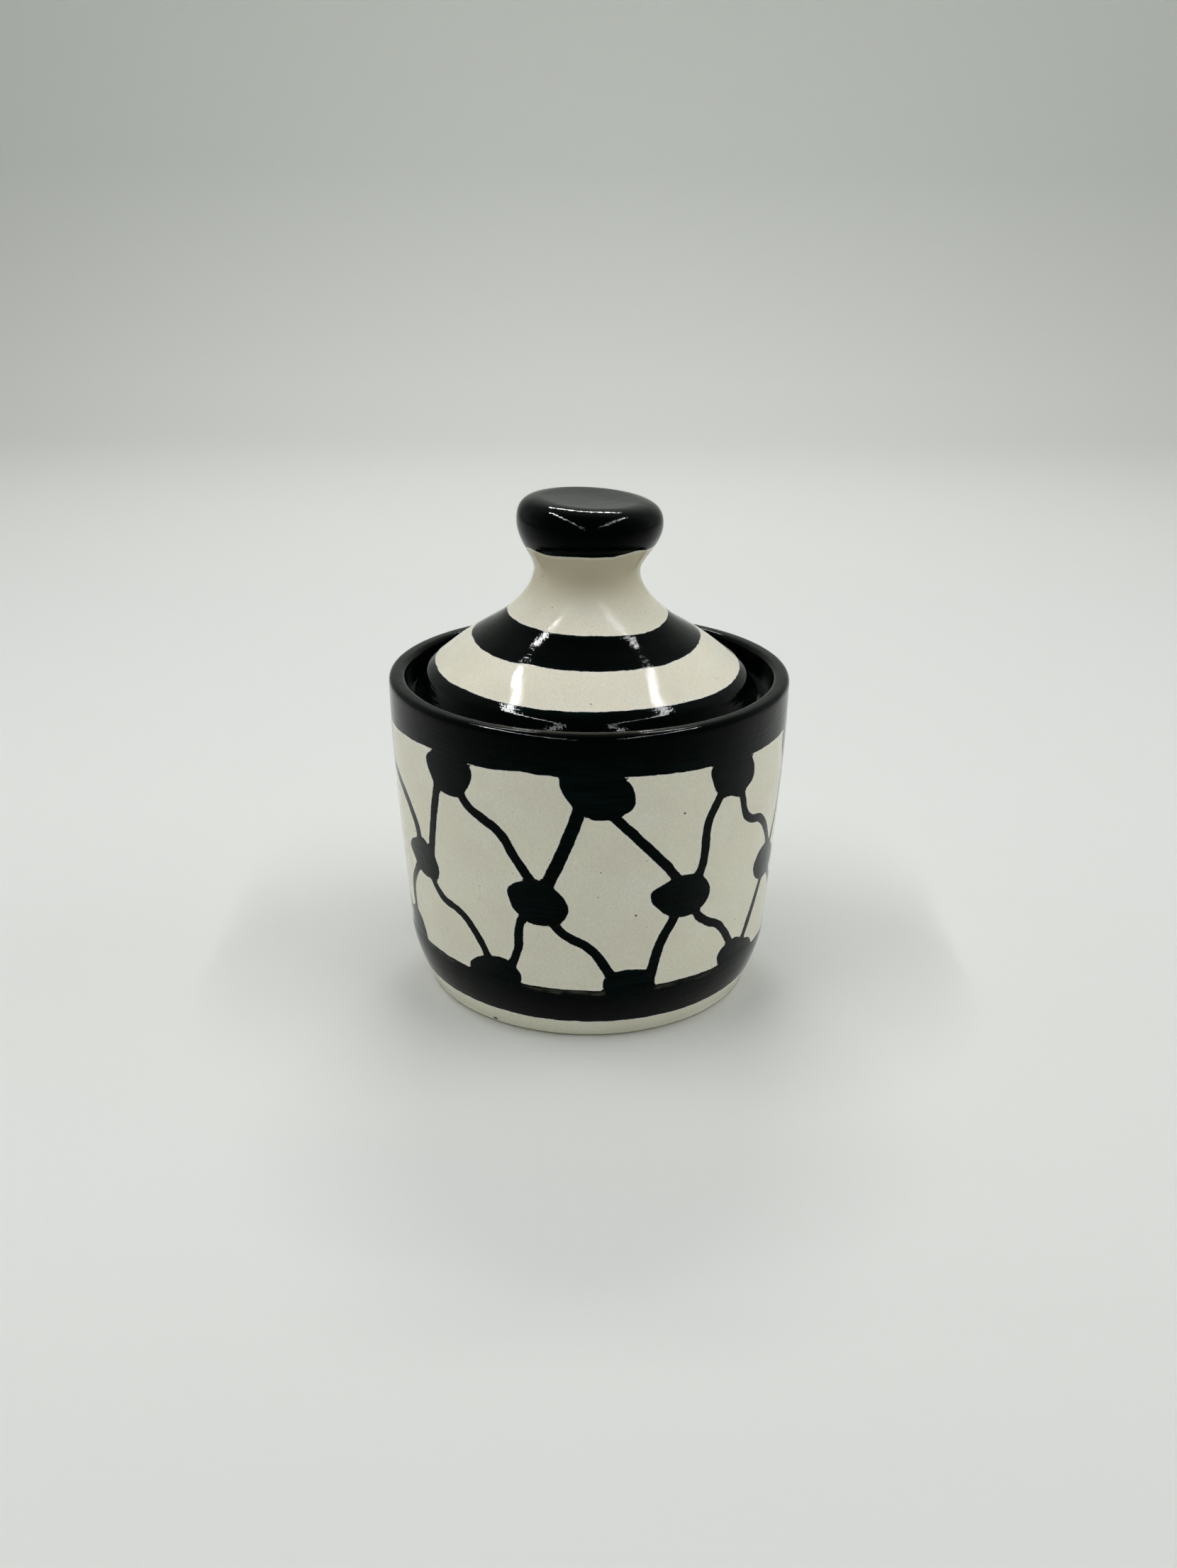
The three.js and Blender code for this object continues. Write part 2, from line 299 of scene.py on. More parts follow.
KNOTS = [
    # Top row, tucked under the band
    [(-45.9, 62), (-47.6, 61), (-50.1, 59.5), (-50.2, 58), (-49.4, 56.5), (-47.6, 54.3), (-45.5, 53.1),
     (-43.7, 52.8), (-40.9, 52.6), (-37.6, 53), (-35.4, 54.5), (-33.5, 56.3), (-32.6, 58.4),
     (-33.1, 59.9), (-34.5, 61), (-36, 62)],
    [(-7, 62), (-7.7, 60.5), (-7.8, 59.3), (-7.1, 57.8), (-5.9, 56.2), (-4, 54.4), (-0.2, 52.3),
     (2.2, 51.7), (5.8, 51.8), (8.7, 52.6), (11.4, 53.4), (12.4, 54.6), (12.6, 56.4), (12.2, 57.8),
     (11.1, 59.3), (9.1, 60.5), (6.5, 62)],
    [(36.5, 62), (34.9, 60.2), (34.3, 59.4), (34.6, 58.1), (35.7, 56.1), (37.4, 54.1), (40, 52.8),
     (42.8, 52.6), (44.6, 52.1), (46.5, 51.8), (49.2, 53), (51.9, 54.3), (52.4, 56.6), (51.6, 58.4),
     (50.4, 59.8), (49, 62)],
    [(75, 62), (73, 59.2), (73, 55.8), (77, 52.6), (84, 51.9), (89.5, 53.6), (92, 57), (91, 60),
     (88.5, 62)],
    [(-92, 62), (-94, 59.5), (-93.5, 56.5), (-91, 53.5), (-86, 52.2), (-80, 53), (-77.2, 56.5), (-78, 60),
     (-80, 62)],
    # Middle row
    [(-65.5, 35.8), (-63, 37.5), (-57, 39.4), (-54.6, 39.5), (-50.2, 36.8), (-48.5, 33.8), (-50.6, 31.3),
     (-58, 31), (-65, 34.5)],
    [(-23, 35.1), (-20.5, 36.7), (-17.5, 37.5), (-13.5, 37.9), (-9.6, 36.5), (-6.7, 34.3), (-5.6, 31.8),
     (-7.4, 29), (-12, 27.7), (-17, 28.1), (-20.5, 30), (-22.6, 32.8)],
    [(17.9, 34.7), (20.4, 36.0), (23.8, 37), (27.5, 37.6), (32.4, 37.1), (35.3, 35.5), (37.1, 33.2),
     (36.7, 31), (34, 28.8), (29, 27.9), (24, 28.8), (20.7, 30.7), (18.5, 32.6)],
    [(57.9, 32.2), (58.8, 34.2), (61.5, 35.9), (67, 36.2), (72, 34.5), (76, 31.5), (73, 29), (69, 27.8),
     (63.5, 28.5), (60, 29.8)],
    # Bottom row, over the edge of the low band
    [(-73, 11), (-74.5, 14), (-73.5, 17.5), (-70, 19.7), (-66.5, 19.8), (-63.2, 18.6), (-61, 16.5),
     (-60.4, 14.5), (-62, 11.8), (-67, 9.8)],
    [(-35.8, 11.4), (-37.2, 13.6), (-37.4, 15), (-36.7, 15.8), (-34.8, 16.9), (-32.5, 17.6), (-30, 18.2),
     (-26.2, 18.5), (-24.1, 18), (-22.3, 16.9), (-20.7, 15.7), (-20.4, 14.3), (-21.2, 12.4), (-24, 10.4),
     (-29.5, 9.4), (-33.5, 10)],
    [(7.2, 10.4), (5.4, 12.9), (5, 14.9), (5.7, 15.9), (8, 17), (11.8, 17.6), (15.2, 17.3), (17.6, 16.8),
     (19.3, 15.4), (20.1, 13.4), (19, 11), (16.5, 9.4), (12, 8.9), (9, 9.3)],
    [(45.8, 11.2), (44.1, 13.6), (43.7, 15.5), (44.9, 16.7), (46.6, 17.3), (49.3, 17.8), (52.2, 17.8),
     (55, 16.6), (58, 15.8), (61.3, 14.5), (62.4, 12.8), (60, 10.6), (54.5, 9.4), (48.5, 9.6)],
]

STROKES = [
    # (width, points); from the top row down to the middle row
    (2.2, [(-58, 39.5), (-58.9, 41.9), (-62.2, 45), (-65.2, 46.9), (-69.3, 48.7), (-76, 51), (-82, 54)]),
    (2.1, [(-45.5, 55), (-47.4, 50), (-49.1, 45), (-50.6, 40), (-51.8, 36)]),
    (2.1, [(-38.2, 55.5), (-36.7, 53.3), (-34.0, 51.2), (-29.3, 49.4), (-25.9, 48.0), (-23.1, 45.9),
           (-20.1, 42), (-15, 36.5)]),
    (2.7, [(-0.9, 56), (-2.1, 54), (-5.0, 48), (-8.3, 42), (-11.7, 36.5)]),
    (2.0, [(4.6, 54), (8.6, 50.9), (12.8, 47.8), (17.9, 43.8), (22.8, 39.9), (26.3, 36.4)]),
    (2.1, [(39.8, 54.5), (37.3, 52), (35.2, 49), (34.4, 46), (34.4, 43), (33.9, 39), (32.5, 36)]),
    (1.8, [(46.3, 54), (47.8, 51), (48.9, 48.4), (50.6, 46.4), (53.8, 45), (57.6, 44.3), (60.8, 42.6),
           (64.3, 39.5), (67, 36)]),
    (1.7, [(70, 35.5), (72.5, 39.5), (74.5, 43), (75.7, 48), (77.5, 54)]),
    # From the middle row down to the bottom row
    (1.8, [(-60, 32.5), (-63, 30), (-65.7, 27.5), (-67.3, 24), (-67.5, 19)]),
    (1.8, [(-53, 32.6), (-50.3, 29.8), (-46.6, 27.7), (-41.5, 26.8), (-37.8, 25.1), (-33.8, 21.4),
           (-30.7, 17)]),
    (1.8, [(-17.8, 30), (-19.4, 28), (-20.2, 25), (-20.4, 22), (-21.7, 19), (-23.6, 16)]),
    (2.0, [(-10.5, 29.5), (-8, 26.9), (-4.2, 24.9), (-0.2, 23.3), (3, 20.6), (6.8, 16)]),
    (2.2, [(26.2, 30), (24.5, 27), (22.3, 24), (20.4, 20), (19, 15)]),
    (1.8, [(31.9, 30), (34.1, 27.1), (37.7, 25.1), (41.9, 23.4), (45.5, 20.4), (48.8, 16.5)]),
    (1.8, [(65.3, 29.5), (62.8, 26), (59.8, 22), (55.5, 16)]),
    (1.8, [(70, 29.5), (74, 26.5), (80, 23), (88, 20.2), (95, 17)]),
]

# The side that the net closes on: the same rows of knots, joined in the same way
TOP_KNOT_HEIGHT = 56.5
MIDDLE_KNOT_HEIGHT = 33.2
BOTTOM_KNOT_HEIGHT = 14.2
BACK_ROWS = [
    # (height, half height of a knot, angles)
    (TOP_KNOT_HEIGHT, 4.6, (131, 179, 227)),
    (MIDDLE_KNOT_HEIGHT, 4.7, (114, 161, 209, 256)),
    (BOTTOM_KNOT_HEIGHT, 4, (100, 148, 196, 244)),
]
UPPER_JOINS = [
    (83, 114), (131, 114), (131, 161), (179, 161), (179, 209), (227, 209), (227, 256), (274, 256),
]
LOWER_JOINS = [
    (114, 100), (114, 148), (161, 148), (161, 196), (209, 196), (209, 244), (256, 244), (256, 292),
]
# A stroke starts and ends this far inside its knots
TUCK = 2
# How much the marks differ: a knot's height and half width in degrees, its lumps, and a stroke's swing and
# width
KNOT_WANDER = 0.7
KNOT_HALF_WIDTH = (8, 9.4)
BROAD_LUMPS = 0.08
SMALL_LUMPS = 0.05
STROKE_SWING = (0.7, 1.5)
STROKE_WIDTH = (1.7, 2.4)
KNOT_POINTS = 12
STROKE_PARTS = 8
brush = random.Random(11)


def knot_outline(angle, height, half_width, half_height):
    """An uneven oval dab; its half width is in degrees, its half height in millimetres."""
    phase = brush.uniform(0, math.tau)
    outline = []
    for i in range(KNOT_POINTS):
        turn_by = math.tau * i / KNOT_POINTS
        swell = (1 + BROAD_LUMPS * math.sin(2 * turn_by + phase)
                 + SMALL_LUMPS * math.sin(3 * turn_by + 2 * phase))
        outline.append((angle + half_width * swell * math.cos(turn_by),
                        height + half_height * swell * math.sin(turn_by)))
    return outline


def wavy_stroke(start, end):
    """A stroke between two knots that swings to one side and back."""
    swing = brush.uniform(*STROKE_SWING) * brush.choice((-1, 1))
    points = []
    for i in range(STROKE_PARTS + 1):
        along = i / STROKE_PARTS
        bend = swing * math.sin(along * math.tau) * math.sin(along * math.pi)
        points.append((start[0] + (end[0] - start[0]) * along + bend * 1.5,
                       start[1] + (end[1] - start[1]) * along + bend * 0.8))
    return brush.uniform(*STROKE_WIDTH), points


for height, half_height, places in BACK_ROWS:
    for angle in places:
        middle = height + brush.uniform(-KNOT_WANDER, KNOT_WANDER)
        KNOTS.append(knot_outline(angle, middle, brush.uniform(*KNOT_HALF_WIDTH), half_height))
for upper, lower in UPPER_JOINS:
    STROKES.append(wavy_stroke((upper, TOP_KNOT_HEIGHT - TUCK), (lower, MIDDLE_KNOT_HEIGHT + TUCK)))
for upper, lower in LOWER_JOINS:
    STROKES.append(wavy_stroke((upper, MIDDLE_KNOT_HEIGHT - TUCK), (lower, BOTTOM_KNOT_HEIGHT + TUCK)))


def smooth_line(points, closed=False, parts=5):
    """More points along a soft curve through the given ones."""
    given = np.array(points, float)
    if closed:
        given = np.vstack([given[-1], given, given[:2]])
    else:
        given = np.vstack([2 * given[0] - given[1], given, 2 * given[-1] - given[-2]])
    t = (np.arange(parts) / parts)[:, None]
    made = []
    for a, b, c, d in zip(given, given[1:], given[2:], given[3:]):
        made.append(0.5 * (2 * b + (c - a) * t + (2 * a - 5 * b + 4 * c - d) * t ** 2
                           + (3 * b - a - 3 * c + d) * t ** 3))
    if not closed:
        made.append(given[-2:-1])
    return np.vstack(made)


def unroll(angle, height, radius, points):
    """The wall's points and a mark's points laid flat, in millimetres from the mark's own middle."""
    middle = points[:, 0].mean()
    across = np.radians((angle - middle + 180) % 360 - 180) * radius
    mark = np.column_stack([np.radians(points[:, 0] - middle) * WALL_MIDDLE, points[:, 1]])
    return np.column_stack([across, height]), mark


def distance_to(places, line):
    """Distance from each place to a line of points."""
    nearest = np.full(len(places), 1e9)
    for a, b in zip(line, line[1:]):
        along = b - a
        share = np.clip(((places - a) @ along) / (along @ along + 1e-12), 0, 1)
        nearest = np.minimum(nearest, np.hypot(*(places - a - share[:, None] * along).T))
    return nearest


def within(places, line):
    """Whether each place lies inside a closed line."""
    inside = np.zeros(len(places), bool)
    x, y = places.T
    for (ax, ay), (bx, by) in zip(line, np.roll(line, -1, axis=0)):
        crosses = (ay > y) != (by > y)
        inside ^= crosses & (x < (bx - ax) * (y - ay) / (by - ay + 1e-12) + ax)
    return inside


# Radius at which a mark's width in degrees is turned to millimetres
WALL_MIDDLE = 41.5
# Paint is measured this far into and away from its edge
FAR = 6.0
# How far a knot and a stroke reach round the pot from their own middle
KNOT_REACH = 12
STROKE_REACH = 22
# Width over which the thinness of one mark passes into its neighbour's, and a stroke's into what it joins
BLEND = 0.4
STROKE_BLEND = 0.8
# Where a stroke leaves a knot the brush flares out by this much
FLARE = 0.45
# How thinly the paint lies, from 0 for a full coat to 1 where the brush ran dry
DEEP, KNOT_WASH, STROKE_WASH, STREAKED = 0, 0.32, 0.5, 1
# The same by depth into the top band, and by depth into the low band from its top edge
TOP_BAND_WASH = [(0, KNOT_WASH), (2, KNOT_WASH * 0.8), (5, DEEP)]
LOW_BAND_WASH = [(0.6, STREAKED), (1.2, STREAKED * 0.8), (1.9, DEEP)]
KNOB_WASH = [(0, KNOT_WASH), (1.5, DEEP)]
# Below this height the low band's wash holds, above it the top band's
BETWEEN_BANDS = 40
# (height, radius) that part the outside from the inside, in the pot's wall and in the lid's shell
POT_PART = [(HEEL_HEIGHT - 2, HEEL_RADIUS - POT_WALL + 0.5), (HEEL_HEIGHT, HEEL_RADIUS - 1.5),
            (BETWEEN_BANDS, MOUTH_RADIUS + 0.5)]
LID_PART = [(60, 33), (68, 32.5), (79, 16.5), (81.6, 12), (81.7, 0)]
# The black of the mouth ends this far below the ledge's top
MOUTH_PAINT_DEPTH = 1.2
# The lid's black edge ends this far above its underside
EDGE_PAINT_RISE = 0.3


def read_off(table, values):
    """Values read off a table of pairs."""
    return np.interp(values, *zip(*table))


def paint_pot(angle, height, radius):
    """Millimetres inside the black paint, below zero on the bare glaze, and how thinly the paint lies."""
    outside = radius > read_off(POT_PART, height)
    top, low_top, low_foot = [read_off(band, angle) for band in (TOP_BAND, LOW_BAND_TOP, LOW_BAND_FOOT)]
    paint = np.maximum(height - top, np.minimum(low_top - height, height - low_foot))
    wash = np.where(height < BETWEEN_BANDS,
                    read_off(LOW_BAND_WASH, low_top - height), read_off(TOP_BAND_WASH, height - top))
    for outline in KNOTS:
        line = smooth_line(outline, closed=True)
        places, mark = unroll(angle, height, radius, line)
        near = (np.abs(places[:, 0]) < KNOT_REACH + FAR) & outside
        found = distance_to(places[near], np.vstack([mark, mark[:1]]))
        depth = np.where(within(places[near], mark), found, -found)
        share = np.clip(depth / BLEND + 0.5, 0, 1)
        wash[near] = wash[near] * (1 - share) + KNOT_WASH * share
        paint[near] = np.maximum(paint[near], depth)
    for width, points in STROKES:
        line = smooth_line(points)
        places, mark = unroll(angle, height, radius, line)
        near = (np.abs(places[:, 0]) < STROKE_REACH + FAR) & outside
        depth = width / 2 - distance_to(places[near], mark)
        share = np.clip(depth / BLEND + 0.5, 0, 1) * np.clip(-paint[near] / STROKE_BLEND + 0.5, 0, 1)
        wash[near] = wash[near] * (1 - share) + STROKE_WASH * share
        flare = np.clip(FLARE - np.abs(paint[near] - depth), 0, FLARE) ** 2 / (4 * FLARE)
        paint[near] = np.maximum(paint[near], depth) + flare * (np.minimum(paint[near], depth) < 0)
    paint = np.where(outside, paint, height - (LEDGE_HEIGHT - MOUTH_PAINT_DEPTH))
    return np.clip(paint, -FAR, FAR), wash


# Heights of the painted edges round the lid
KNOB_EDGE = [
    (-180, 96.5), (-110, 96.1), (-80, 96.0), (-70, 96.4), (-60, 96.8), (-50, 96.6), (-40, 96.3), (-30, 96.4),
    (-10, 96.7), (0, 96.5), (20, 96.6), (40, 97.3), (60, 96.8), (80, 96.8), (130, 96.6), (180, 96.5),
]
UPPER_TOP = [
    (-180, 81.4), (-120, 81.9), (-80, 82.1), (-60, 81.9), (-40, 81.7), (-20, 81.4), (0, 81.3), (20, 81.1),
    (40, 80.8), (60, 81.0), (80, 81.4), (130, 81.2), (180, 81.4),
]
UPPER_FOOT = [
    (-180, 76.6), (-120, 76.9), (-80, 77.0), (-60, 76.7), (-40, 76.4), (-30, 76.6), (-20, 76.4), (0, 76.2),
    (20, 76.05), (40, 76.0), (60, 76.3), (80, 76.6), (130, 76.4), (180, 76.6),
]
LOWER_TOP = [
    (-180, 70.7), (-120, 71.1), (-80, 71.3), (-60, 71.0), (-50, 71.05), (-40, 70.8), (-20, 70.5), (0, 70.45),
    (20, 70.4), (40, 70.25), (60, 70.15), (80, 70.35), (130, 70.5), (180, 70.7),
]


def paint_lid(angle, height, radius):
    """Millimetres inside the black paint of the lid's bands and knob, and how thinly the paint lies."""
    knob, upper_top, upper_foot, lower_top = [
        read_off(edge, angle) for edge in (KNOB_EDGE, UPPER_TOP, UPPER_FOOT, LOWER_TOP)]
    slant = 1 / math.sin(SLOPE_ANGLE)
    upper = np.minimum(upper_top - height, height - upper_foot) * slant
    lower = np.minimum((lower_top - height) * slant, height - LID_UNDERSIDE - EDGE_PAINT_RISE)
    paint = np.maximum(height - knob, np.maximum(upper, lower))
    hollow = radius < read_off(LID_PART, height)
    return np.clip(np.where(hollow, -FAR, paint), -FAR, FAR), read_off(KNOB_WASH, paint)


def store_paint(piece, rule):
    """Keeps the painted pattern on the piece's own points."""
    places = np.zeros(len(piece.data.vertices) * 3)
    piece.data.vertices.foreach_get("co", places)
    x, y, z = places.reshape(-1, 3).T / MM
    for name, values in zip(("paint", "wash"), rule(np.degrees(np.arctan2(x, -y)), z, np.hypot(x, y))):
        attribute = piece.data.attributes.new(name, "FLOAT", "POINT")
        attribute.data.foreach_set("value", values.astype(np.float32))


store_paint(pot, paint_pot)
store_paint(lid, paint_lid)


# Materials. A Mix node blends colours by its sockets FIRST and SECOND and gives them at MIXED; numbers go
# into FIRST_NUMBER and SECOND_NUMBER.
FIRST, SECOND, MIXED = 6, 7, 2
FIRST_NUMBER, SECOND_NUMBER = 2, 3


def add(tree, kind, inputs=None, **settings):
    """Adds a node with its settings; an input takes a value or another node's output."""
    node = tree.nodes.new(kind)
    for key, value in settings.items():
        setattr(node, key, value)
    for key, value in (inputs or {}).items():
        if isinstance(value, bpy.types.NodeSocket):
            tree.links.new(value, node.inputs[key])
        else:
            node.inputs[key].default_value = value
    return node


def new_material(name):
    """A material made of nodes, still empty."""
    material = bpy.data.materials.new(name)
    material.use_nodes = True
    material.node_tree.nodes.clear()
    return material


def per_mm(spacing):
    """Noise scale on metre coordinates for a feature this many millimetres across."""
    return 1 / (spacing * MM)


# Pits in the glaze and a nick in the foot's edge: angle, height, distance from the axis, width, height
MARKS = [
    (-33, 0.9, 35.5, 0.75, 0.32), (26.8, 51.5, 42.0, 0.3, 0.3), (3.5, 40.3, 41.4, 0.18, 0.18),
    (13.7, 30.1, 40.7, 0.3, 0.32), (0.7, 71.6, 31.3, 0.3, 0.25), (9, 86.5, 13.5, 0.2, 0.22),
]
MARK_DEPTH = 1.2


def small_marks(tree, place):
    """How much of a small dark mark lies at a place, 0 to 1."""
    found = 0.0
    for angle, height, distance, width, tall in MARKS:
        turned = math.radians(angle)
        middle = Vector((math.sin(turned) * distance, -math.cos(turned) * distance, height))
        away = add(tree, "ShaderNodeVectorMath", {0: place, 1: middle * MM}, operation="SUBTRACT")
        away = add(tree, "ShaderNodeVectorMath",
                   {0: away.outputs[0], 1: (per_mm(width), per_mm(MARK_DEPTH), per_mm(tall))},
                   operation="MULTIPLY")
        away = add(tree, "ShaderNodeVectorMath", {0: away.outputs[0]}, operation="LENGTH")
        mark = add(tree, "ShaderNodeMapRange",
                   {"Value": away.outputs["Value"],
                    "From Min": 0.5, "From Max": 1.0, "To Min": 1.0, "To Max": 0.0})
        found = add(tree, "ShaderNodeMath", {0: mark.outputs[0], 1: found}, operation="MAXIMUM").outputs[0]
    return found


# Glaze: widths and heights of its features in millimetres. The bristle marks, the mottling and the wrinkles
# are finer on the real glaze and are drawn coarser here, so that they show.
SWING_LENGTH = 2.6
SWING_HEIGHT = 0.4
TOOTH_WIDTH = 0.55
TOOTH_HEIGHT = 0.22
PAINT_EDGE = (-0.11, 0.04)
BRISTLE_WIDTH = 1.6
BRISTLE_STRETCH = (0.16, 0.16, 2.4)
BRISTLE_RELIEF = 0.05
PATCH_WIDTH = 3.5
CLOUD_WIDTH = 14
BANK_WIDTH = 11
MOTTLE_WIDTH = 0.4
SPECK_SPACING = 2.4
POOL_EDGE = (-0.75, -0.2)
LID_GLAZE_HEIGHT = (62, 66)
# Heights over which the neck is darkened with painted shade under the knob
NECK_SHADE_HEIGHT = (83, 92)
RIPPLE_WIDTH = 7
RIPPLE_RELIEF = 0.1
WRINKLE_WIDTH = 0.6
WRINKLE_RELIEF = 0.022

# Colours of the black, from a full coat to where the brush ran dry, and of the cream
FULL_BLACK = linear("#000202")
THIN_BLACKS = ((0.3, linear("#01110f")), (0.65, linear("#090d0a")), (0.85, linear("#2c2f29")))
DRY_BLACK = linear("#45443c")
POT_CREAM = linear("#ebe9d7")
LID_CREAM = linear("#efead9")
CLOUD_CREAM = linear("#e4e0cf")
MILKY_CREAM = linear("#ebede0")
# Painted shade on the neck under the knob, which also stands in for the knob's dark reflection there
NECK_SHADE_CREAM = linear("#c0b799")
POOLED_CREAM = linear("#eceae4")
MOTTLE_COLOUR = linear("#c9c4ae")
SPECK_COLOUR = linear("#6a5f4c")
MARK_COLOUR = linear("#4f4a42")

# A low index gives the weak mirror images of this glaze
GLAZE_IOR = 1.25
GLAZE_ROUGHNESS = (0.015, 0.04)
GLAZE_TINT = (0.1, 0.1, 0.1, 1)


def glazed_earthenware(name):
    """Transparent lead-type glaze over cream slip, black oxide brushed on under it.
    The eye gets a deep wet gloss, a finely rippled skin, pinholes and soft mottling, and a black that
    turns to dark green where it lies thin and to streaky brown where the brush ran dry."""
    material = new_material(name)
    tree = material.node_tree
    place = add(tree, "ShaderNodeTexCoord").outputs["Object"]
    paint = add(tree, "ShaderNodeAttribute", attribute_name="paint").outputs["Fac"]
    wash = add(tree, "ShaderNodeAttribute", attribute_name="wash").outputs["Fac"]

    # Edge left by the brush: long uneven swings and short bristle teeth
    swings = add(tree, "ShaderNodeTexNoise", {"Vector": place, "Scale": per_mm(SWING_LENGTH), "Detail": 1.0})
    teeth = add(tree, "ShaderNodeTexNoise", {"Vector": place, "Scale": per_mm(TOOTH_WIDTH), "Detail": 2.0})
    swing = add(tree, "ShaderNodeMath", {0: swings.outputs["Fac"], 1: 0.5}, operation="SUBTRACT")
    tooth = add(tree, "ShaderNodeMath", {0: teeth.outputs["Fac"], 1: 0.5}, operation="SUBTRACT")
    edge = add(tree, "ShaderNodeMath",
               {0: swing.outputs[0], 1: SWING_HEIGHT, 2: paint}, operation="MULTIPLY_ADD")
    edge = add(tree, "ShaderNodeMath",
               {0: tooth.outputs[0], 1: TOOTH_HEIGHT, 2: edge.outputs[0]}, operation="MULTIPLY_ADD")
    cover = add(tree, "ShaderNodeMapRange",
                {"Value": edge.outputs[0], "From Min": PAINT_EDGE[0], "From Max": PAINT_EDGE[1]})

    # Black: bristle streaks along the brush's way round the pot, strongest where the paint lies thin
    along_brush = add(tree, "ShaderNodeMapping", {"Vector": place, "Scale": BRISTLE_STRETCH})
    streaks = add(tree, "ShaderNodeTexNoise",
                  {"Vector": along_brush.outputs[0], "Scale": per_mm(BRISTLE_WIDTH),
                   "Detail": 3.0, "Roughness": 0.6})
    patches = add(tree, "ShaderNodeTexNoise", {"Vector": place, "Scale": per_mm(PATCH_WIDTH), "Detail": 2.0})
    streak = add(tree, "ShaderNodeMapRange",
                 {"Value": streaks.outputs["Fac"], "From Min": 0.3, "From Max": 0.7})
    patch = add(tree, "ShaderNodeMapRange",
                {"Value": patches.outputs["Fac"],
                 "From Min": 0.3, "From Max": 0.7, "To Min": 0.5, "To Max": 1.3})
    thin = add(tree, "ShaderNodeMath", {0: wash, 1: patch.outputs[0]}, operation="MULTIPLY")
    deep = add(tree, "ShaderNodeMapRange",
               {"Value": edge.outputs[0], "From Min": 0.0, "From Max": 0.35, "To Min": 0.5, "To Max": 1.0})
    thin = add(tree, "ShaderNodeMath", {0: thin.outputs[0], 1: deep.outputs[0]}, operation="MULTIPLY")
    colours = add(tree, "ShaderNodeValToRGB", {"Fac": thin.outputs[0]})
    ramp = colours.color_ramp
    ramp.elements[0].color = FULL_BLACK
    ramp.elements[1].color = DRY_BLACK
    for position, colour in THIN_BLACKS:
        ramp.elements.new(position).color = colour
    black = add(tree, "ShaderNodeMix",
                {"Factor": streak.outputs[0], FIRST: colours.outputs["Color"], SECOND: FULL_BLACK},
                data_type="RGBA")

    # Cream glaze: warmer on the lid, cloudy where it lies thicker, milky in banks, darker and browner on the
    # neck as painted shade under the knob, whiter where it pools beside the paint, faintly mottled, with
    # small brown specks
    clouds = add(tree, "ShaderNodeTexNoise", {"Vector": place, "Scale": per_mm(CLOUD_WIDTH), "Detail": 3.0})
    cloud = add(tree, "ShaderNodeMapRange",
                {"Value": clouds.outputs["Fac"], "From Min": 0.35, "From Max": 0.7})
    height = add(tree, "ShaderNodeSeparateXYZ", {"Vector": place})
    on_lid = add(tree, "ShaderNodeMapRange",
                 {"Value": height.outputs["Z"],
                  "From Min": LID_GLAZE_HEIGHT[0] * MM, "From Max": LID_GLAZE_HEIGHT[1] * MM})
    clear = add(tree, "ShaderNodeMix",
                {"Factor": on_lid.outputs[0], FIRST: POT_CREAM, SECOND: LID_CREAM}, data_type="RGBA")
    cream = add(tree, "ShaderNodeMix",
                {"Factor": cloud.outputs[0], FIRST: clear.outputs[MIXED], SECOND: CLOUD_CREAM},
                data_type="RGBA")
    banks = add(tree, "ShaderNodeTexNoise",
                {"Vector": place, "Scale": per_mm(BANK_WIDTH), "Detail": 4.0, "Roughness": 0.6})
    milky = add(tree, "ShaderNodeMapRange",
                {"Value": banks.outputs["Fac"],
                 "From Min": 0.5, "From Max": 0.64, "To Min": 0, "To Max": 0.45})
    cream = add(tree, "ShaderNodeMix",
                {"Factor": milky.outputs[0], FIRST: cream.outputs[MIXED], SECOND: MILKY_CREAM},
                data_type="RGBA")
    # Painted shade: the neck darkens towards the knob, where the knob shades it
    under_knob_shade = add(tree, "ShaderNodeMapRange",
                  {"Value": height.outputs["Z"], "From Min": NECK_SHADE_HEIGHT[0] * MM,
                   "From Max": NECK_SHADE_HEIGHT[1] * MM, "To Min": 0, "To Max": 0.8},
                  interpolation_type="SMOOTHSTEP")
    cream = add(tree, "ShaderNodeMix",
                {"Factor": under_knob_shade.outputs[0], FIRST: cream.outputs[MIXED], SECOND: NECK_SHADE_CREAM},
                data_type="RGBA")
    pooled = add(tree, "ShaderNodeMapRange",
                 {"Value": edge.outputs[0], "From Min": POOL_EDGE[0], "From Max": POOL_EDGE[1],
                  "To Min": 0, "To Max": 0.6})
    cream = add(tree, "ShaderNodeMix",
                {"Factor": pooled.outputs[0], FIRST: cream.outputs[MIXED], SECOND: POOLED_CREAM},
                data_type="RGBA")
    mottles = add(tree, "ShaderNodeTexNoise",
                  {"Vector": place, "Scale": per_mm(MOTTLE_WIDTH), "Detail": 2.0, "Roughness": 0.7})
    mottle = add(tree, "ShaderNodeMapRange",
                 {"Value": mottles.outputs["Fac"],
                  "From Min": 0.3, "From Max": 0.7, "To Min": 0.0, "To Max": 0.45})
    cream = add(tree, "ShaderNodeMix",
                {"Factor": mottle.outputs[0], FIRST: cream.outputs[MIXED], SECOND: MOTTLE_COLOUR},
                data_type="RGBA")
    grains = add(tree, "ShaderNodeTexVoronoi", {"Vector": place, "Scale": per_mm(SPECK_SPACING)})
    grain = add(tree, "ShaderNodeMapRange",
                {"Value": grains.outputs["Distance"],
                 "From Min": 0.04, "From Max": 0.09, "To Min": 1.0, "To Max": 0.0})
